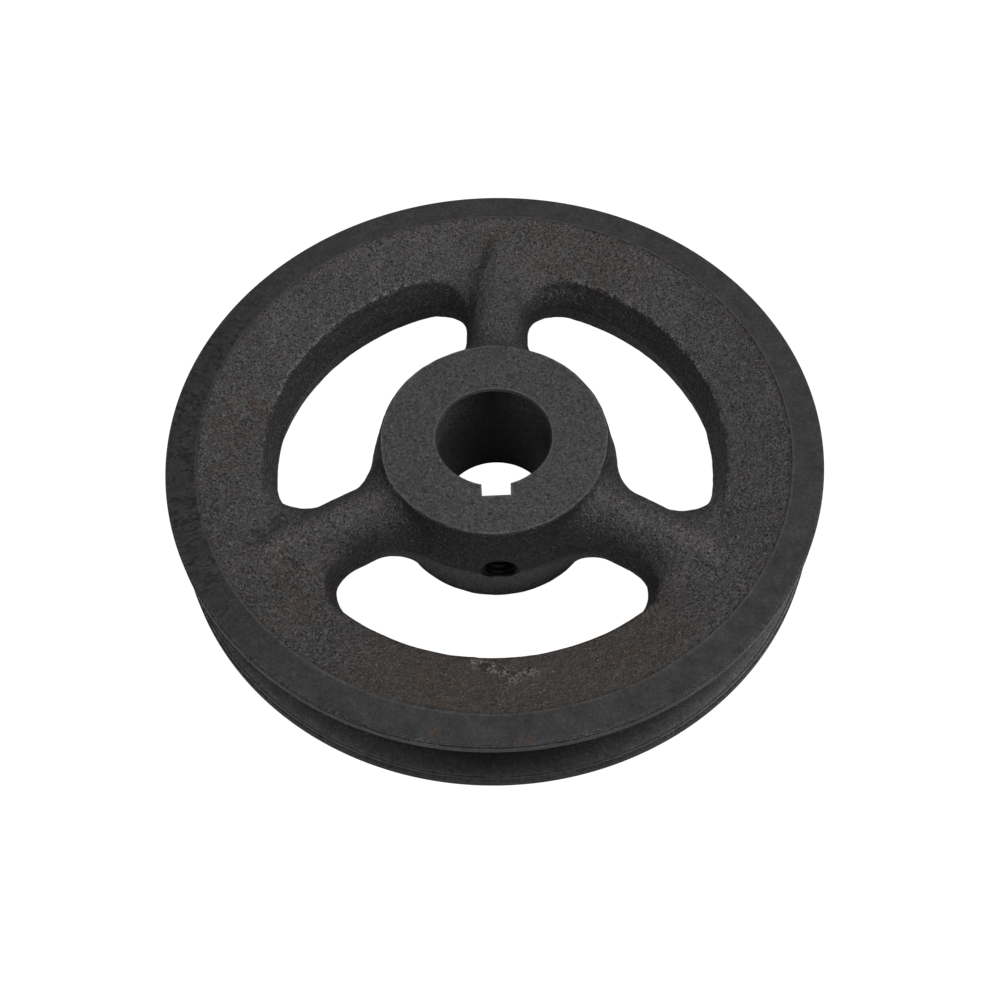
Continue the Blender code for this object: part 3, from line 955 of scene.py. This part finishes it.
class TurnedPaint(Paint):
    """The turned rim's noises and masks, and the tones and marks made from them."""

    def __init__(self):
        super().__init__("turned_iron")
        self.lines = self.noise(1.0, 2.0, 0.5, self.polar(14, 0.22), 1)
        self.mottle = self.noise(3.4, 4.0, 0.6, seed=2)
        self.spots = self.noise(1.0, 3.0, 0.6, seed=3)
        self.fine = self.noise(0.5, 2.0, 0.6, seed=4)
        self.flank = self.math("LESS_THAN", self.size_of(self.z), GROOVE_HALF_OPENING - 0.05)
        self.aside = self.size_of(self.x)
        # Painted light on the groove's lower flank, to each side of the front
        lower_flank_light = self.times(self.flank, self.ramp(self.z, -2.0, -1.0, 1.0, 0.0))
        lower_flank_light = self.times(lower_flank_light, self.ramp(self.aside, 8, 50))
        self.lower_flank_light = self.times(lower_flank_light, self.ramp(self.y, -25, 0, 1.0, 0.0))

    def tool_tone(self):
        """The faint turning lines and mottles that the lathe left."""
        speckle = self.ramp(self.fine, 0.3, 0.7, 0.7, 1.3)
        tone = self.times(self.ramp(self.spots, 0.3, 0.7, 0.78, 1.22), speckle)
        return self.times(tone, self.ramp(self.lines, 0.3, 0.7, 0.93, 1.07))

    def cracks(self, left):
        """Dark smears, streaks and fine cracks across the ring, mostly on its left."""
        smear = self.ramp(self.noise(1.0, 4.0, 0.65, self.polar(3.2, 4.0), 5), 0.5, 0.6)
        streak = self.ramp(self.noise(1.0, 3.0, 0.7, self.polar(1.6, 3.0), 8), 0.56, 0.6)
        vein = self.minus(self.noise(1.0, 2.5, 0.6, self.polar(2.4, 4.5), 12), 0.5)
        crack = self.ramp(self.size_of(vein), 0.012, 0.05, 1.0, 0.0)
        crack = self.times(crack, self.ramp(self.mottle, 0.47, 0.55))
        dark = self.most(self.times(smear, 0.4), self.times(streak, 0.85), crack)
        return self.times(dark, self.plus(0.15, self.times(left, 0.85)))

    def soiled_tone(self, tone):
        """The tone with cracks, painted shade deep in the groove and on the lower land, painted light
        towards the groove's lip and on its lower flank at the front, and bright arcs from handling.
        """
        left = self.patch(*RING_LEFT)
        # Painted shade deep in the groove, and painted light towards its lip
        groove_shade = self.times(self.flank, self.ramp(self.radius, OUTSIDE - 10, OUTSIDE, 1.0, 0.0))
        groove_lip_light = self.times(self.flank, self.ramp(self.radius, OUTSIDE - 5, OUTSIDE))
        # Painted shade on the lower land
        low = self.ramp(self.z, -GROOVE_HALF_OPENING - 0.1, -GROOVE_HALF_OPENING + 0.1, 1.0, 0.0)
        low_land_shade = self.times(low, self.ramp(self.radius, OUTSIDE - 0.6, OUTSIDE - 0.4))
        arcs = self.ramp(self.noise(1.0, 1.0, 0.5, self.polar(70, 0.45), 11), 0.64, 0.72)
        return self.changed(
            tone, (self.cracks(left), 0.2), (left, 0.86), (groove_shade, 0.05), (groove_lip_light, 1.9),
            (self.lower_flank_light, 2.6), (low_land_shade, 0.42), (arcs, 1.3),
        )

    def rusted(self, colour):
        """The colour with two small rust marks on the ring's front."""
        marks = self.most(0.0, *[self.patch(*place, 0.5, 1.5, HALF_RIM) for place in RING_MARKS])
        return self.mix(self.times(marks, self.ramp(self.spots, 0.4, 0.6)), colour, RUST)

    def worn(self, colour):
        """The colour with worn corners, painted glints on the groove's flank, and a bright line by the web.
        """
        wear = self.times(self.edges(0.4), self.ramp(self.spots, 0.42, 0.55))
        wear = self.times(wear, self.ramp(self.y, -20, 20, 1.0, 0.15))
        # Painted glints on the groove's flank at the front
        chips_and_glints = self.times(self.ramp(self.fine, 0.66, 0.74), self.patch(*FLANK_GLINTS, -HALF_RIM / 2))
        colour = self.mix(self.most(self.times(wear, 0.8), chips_and_glints), colour, WORN_AND_GLINT)
        # Painted glints on the lit lower flank of the groove
        groove_glints = self.ramp(self.noise(0.5, 2.0, 0.6, seed=13), 0.58, 0.66)
        groove_glints = self.times(groove_glints, self.ramp(self.lower_flank_light, 0.0, 0.5))
        colour = self.mix(self.times(groove_glints, 0.8), colour, WORN_AND_GLINT)
        colour = self.mix(self.bare_edges(), colour, BARE_EDGE)
        line = self.size_of(self.minus(self.radius, RING_INNER + 0.35))
        line = self.times(self.ramp(line, 0.1, 0.3, 1.0, 0.0), self.ramp(self.spots, 0.35, 0.55, 0.2, 1.0))
        return self.mix(self.times(line, 0.28), colour, WORN_AND_GLINT)

    def bare_edges(self):
        """Where the rim's front corners are rubbed down to bare metal."""
        places = [self.patch(*place, HALF_RIM) for place in BARE_PLACES]
        sides = self.times(self.ramp(self.aside, 22, 36, 0.0, 0.75), self.ramp(self.y, -22, -8, 1.0, 0.0))
        rubbed = self.times(self.edges(0.5), self.ramp(self.fine, 0.5, 0.58))
        return self.times(self.most(*places, sides), rubbed)


def turned_iron():
    """The rim's lathe-turned faces, blackened: faint turning lines, mottles, cracks and worn corners."""
    paint = TurnedPaint()
    colour = paint.mix(paint.ramp(paint.mottle, 0.3, 0.7), TURNED_DARK, TURNED_LIGHT)
    colour = paint.shade(colour, paint.soiled_tone(paint.tool_tone()))
    colour = paint.worn(paint.rusted(colour))
    height = paint.plus(paint.times(paint.lines, 0.5), paint.times(paint.fine, 0.5))
    roughness = paint.ramp(paint.mottle, 0.3, 0.7, 0.6, 0.45)
    return paint.finish(colour, roughness, paint.bump(height, 0.03), TURNED_SPECULAR)


def faced_iron():
    """The hub's two ends: flat, with a fine even grain, small pits, painted highlights on the pits' lips,
    painted glints and bare edges.
    """
    paint = Paint("faced_iron")
    grain = paint.noise(0.55, 2.0, 0.6, seed=1)
    fine = paint.noise(0.34, 1.0, 0.5, seed=7)
    spots = paint.noise(1.6, 3.0, 0.6, seed=2)
    clouds = paint.noise(8.0, 3.0, 0.6, seed=3)
    hollow = paint.cells(2.2, 4)
    some = paint.ramp(spots, 0.47, 0.55)
    pits = paint.times(paint.ramp(hollow, 0.17, 0.27, 1.0, 0.0), some)
    # Painted highlights on the pits' lips
    pit_lip_highlights = paint.times(paint.ramp(hollow, 0.26, 0.3), paint.ramp(hollow, 0.3, 0.36, 1.0, 0.0))
    pit_lip_highlights = paint.times(pit_lip_highlights, paint.times(some, paint.ramp(fine, 0.45, 0.6)))
    colour = paint.mix(paint.ramp(clouds, 0.35, 0.65), FACED_DARK, FACED_LIGHT)
    coarse = paint.ramp(grain, 0.32, 0.68, 0.42, 1.58)
    tone = paint.plus(coarse, paint.ramp(fine, 0.32, 0.68, -0.45, 0.45))
    tone = paint.times(tone, paint.ramp(spots, 0.3, 0.7, 0.95, 1.05))
    colour = paint.shade(colour, paint.changed(tone, (pits, 0.3)))
    # Painted glints
    glints = paint.ramp(paint.noise(0.42, 2.0, 0.6, seed=6), 0.64, 0.7)
    colour = paint.mix(paint.times(glints, 0.6), colour, GLINT)
    colour = paint.mix(paint.times(pit_lip_highlights, 0.6), colour, GLINT)
    wear = paint.times(paint.edges(0.8), paint.ramp(spots, 0.36, 0.5))
    colour = paint.mix(wear, colour, BARE_EDGE)
    height = paint.minus(grain, paint.times(pits, 0.6))
    roughness = paint.ramp(grain, 0.3, 0.7, 0.68, 0.48)
    return paint.finish(colour, roughness, paint.bump(height, 0.12), CAST_SPECULAR)


def bored_iron():
    """The bore, keyway and tapped hole: painted near-black shade, with painted light on the bore's sides and
    towards its upper end.
    """
    paint = Paint("bored_iron")
    lines = paint.noise(1.0, 2.0, 0.5, paint.vector("MULTIPLY", paint.place, (0.1, 0.1, 4.0)), 1)
    speckle = paint.noise(0.5, 3.0, 0.65, seed=2)
    # Painted light on the bore's sides and towards its upper end; past the keyway's floor, in the tapped
    # hole, painted near-black shade
    side = paint.math("POWER", paint.ramp(paint.size_of(paint.x), 0, BORE, 0.12, 1.0), 1.7)
    share = paint.times(paint.ramp(speckle, 0.4, 0.62, 0.1, 1.0), side)
    share = paint.times(share, paint.ramp(paint.z, HUB_FOOT, HUB_TOP, 0.25, 1.0))
    share = paint.times(share, paint.ramp(paint.y, -17, -16, 0.0, 1.0))
    colour = paint.mix(share, BORED_SHADED, BORED_LIT)
    colour = paint.shade(colour, paint.ramp(lines, 0.3, 0.7, 0.85, 1.15))
    # Painted highlight on the lower lip of the tapped hole's mouth
    hole_lip_highlight = paint.times(paint.ramp(paint.y, -27.0, -27.3), paint.ramp(paint.z, -3.0, -3.8))
    colour = paint.mix(hole_lip_highlight, colour, WORN_AND_GLINT)
    chamfer = paint.ramp(paint.z, HUB_TOP - BORE_CHAMFER - 0.1, HUB_TOP - BORE_CHAMFER)
    colour = paint.mix(chamfer, colour, FACED_LIGHT)
    wear = paint.times(paint.edges(0.3), paint.ramp(speckle, 0.4, 0.55))
    colour = paint.mix(paint.times(wear, 0.7), colour, WORN_AND_GLINT)
    height = paint.plus(paint.times(lines, 0.6), paint.times(speckle, 0.4))
    roughness = paint.ramp(speckle, 0.35, 0.7, 0.45, 0.3)
    return paint.finish(colour, roughness, paint.bump(height, 0.06), BORED_SPECULAR)


def black_oxide():
    """The set screw's chemically blackened steel: satin, with brighter crests and corners."""
    paint = Paint("black_oxide")
    mottle = paint.noise(0.9, 3.0, 0.6, seed=1)
    fine = paint.noise(0.2, 2.0, 0.6, seed=2)
    colour = paint.mix(paint.ramp(mottle, 0.3, 0.7), OXIDE_DARK, OXIDE_LIGHT)
    wear = paint.times(paint.edges(0.12), paint.ramp(mottle, 0.35, 0.6))
    colour = paint.mix(paint.times(wear, 0.6), colour, STEEL)
    roughness = paint.ramp(mottle, 0.3, 0.7, 0.5, 0.34)
    metallic = paint.ramp(wear, 0.0, 1.0, 0.3, 0.9)
    return paint.finish(colour, roughness, paint.bump(fine, 0.02), SCREW_SPECULAR, metallic)


# Stage

def floor_paint():
    """Pale. The camera sees the floor lifted towards white; the pulley is lit by its plain bounce."""
    paint = Paint("pale_floor")
    seen = paint.node("ShaderNodeBsdfDiffuse", Color=FLOOR_SEEN).outputs[0]
    glow = paint.node("ShaderNodeEmission", Color=WHITE, Strength=FLOOR_GLOW).outputs[0]
    bounce = paint.node("ShaderNodeBsdfDiffuse", Color=(FLOOR_BOUNCE,) * 3).outputs[0]
    lifted = paint.node("ShaderNodeMixShader", Fac=FLOOR_LIFT)
    paint.feed(lifted.inputs[1], seen)
    paint.feed(lifted.inputs[2], glow)
    to_camera = paint.node("ShaderNodeLightPath").outputs["Is Camera Ray"]
    both = paint.node("ShaderNodeMixShader", Fac=to_camera)
    paint.feed(both.inputs[1], bounce)
    paint.feed(both.inputs[2], lifted.outputs[0])
    paint.feed(paint.tree.nodes["Material Output"].inputs["Surface"], both.outputs[0])
    return paint.material


def floor():
    """A wide pale floor, a hair below the pulley."""
    mesh = bmesh.new()
    bmesh.ops.create_circle(mesh, cap_ends=True, segments=64, radius=FLOOR_RADIUS)
    item = from_bmesh("floor", mesh)
    item.location.z = FLOOR_HEIGHT
    item.data.materials.append(floor_paint())


def area_light(name, place, size, power):
    """A soft rectangular light that faces the pulley."""
    data = bpy.data.lights.new(name, "AREA")
    data.shape = "RECTANGLE"
    data.size, data.size_y = size
    data.energy = power
    item = bpy.data.objects.new(name, data)
    item.location = place
    item.rotation_euler = (-Vector(place)).to_track_quat("-Z", "Y").to_euler()
    bpy.context.scene.collection.objects.link(item)


def camera():
    data = bpy.data.cameras.new("camera")
    data.lens = LENS
    data.sensor_width = SENSOR_WIDTH
    data.clip_start = NEAREST_SEEN
    item = bpy.data.objects.new("camera", data)
    item.location = CAMERA_PLACE
    item.rotation_euler = CAMERA_TURN
    bpy.context.scene.collection.objects.link(item)
    bpy.context.scene.camera = item


def surroundings():
    """White all round: bright to the camera, dim to everything else."""
    world = bpy.data.worlds.new("studio")
    world.use_nodes = True
    nodes, links = world.node_tree.nodes, world.node_tree.links
    seen = nodes.new("ShaderNodeMapRange")
    seen.inputs["To Min"].default_value = WORLD_LIGHT
    seen.inputs["To Max"].default_value = WORLD_SEEN
    links.new(nodes.new("ShaderNodeLightPath").outputs["Is Camera Ray"], seen.inputs["Value"])
    links.new(seen.outputs[0], nodes["Background"].inputs["Strength"])
    nodes["Background"].inputs["Color"].default_value = (*WHITE, 1)
    bpy.context.scene.world = world


def studio():
    floor()
    for light in LIGHTS:
        area_light(*light)
    surroundings()
    bpy.context.scene.view_settings.view_transform = "Standard"
    camera()


pulley()
screw()
studio()
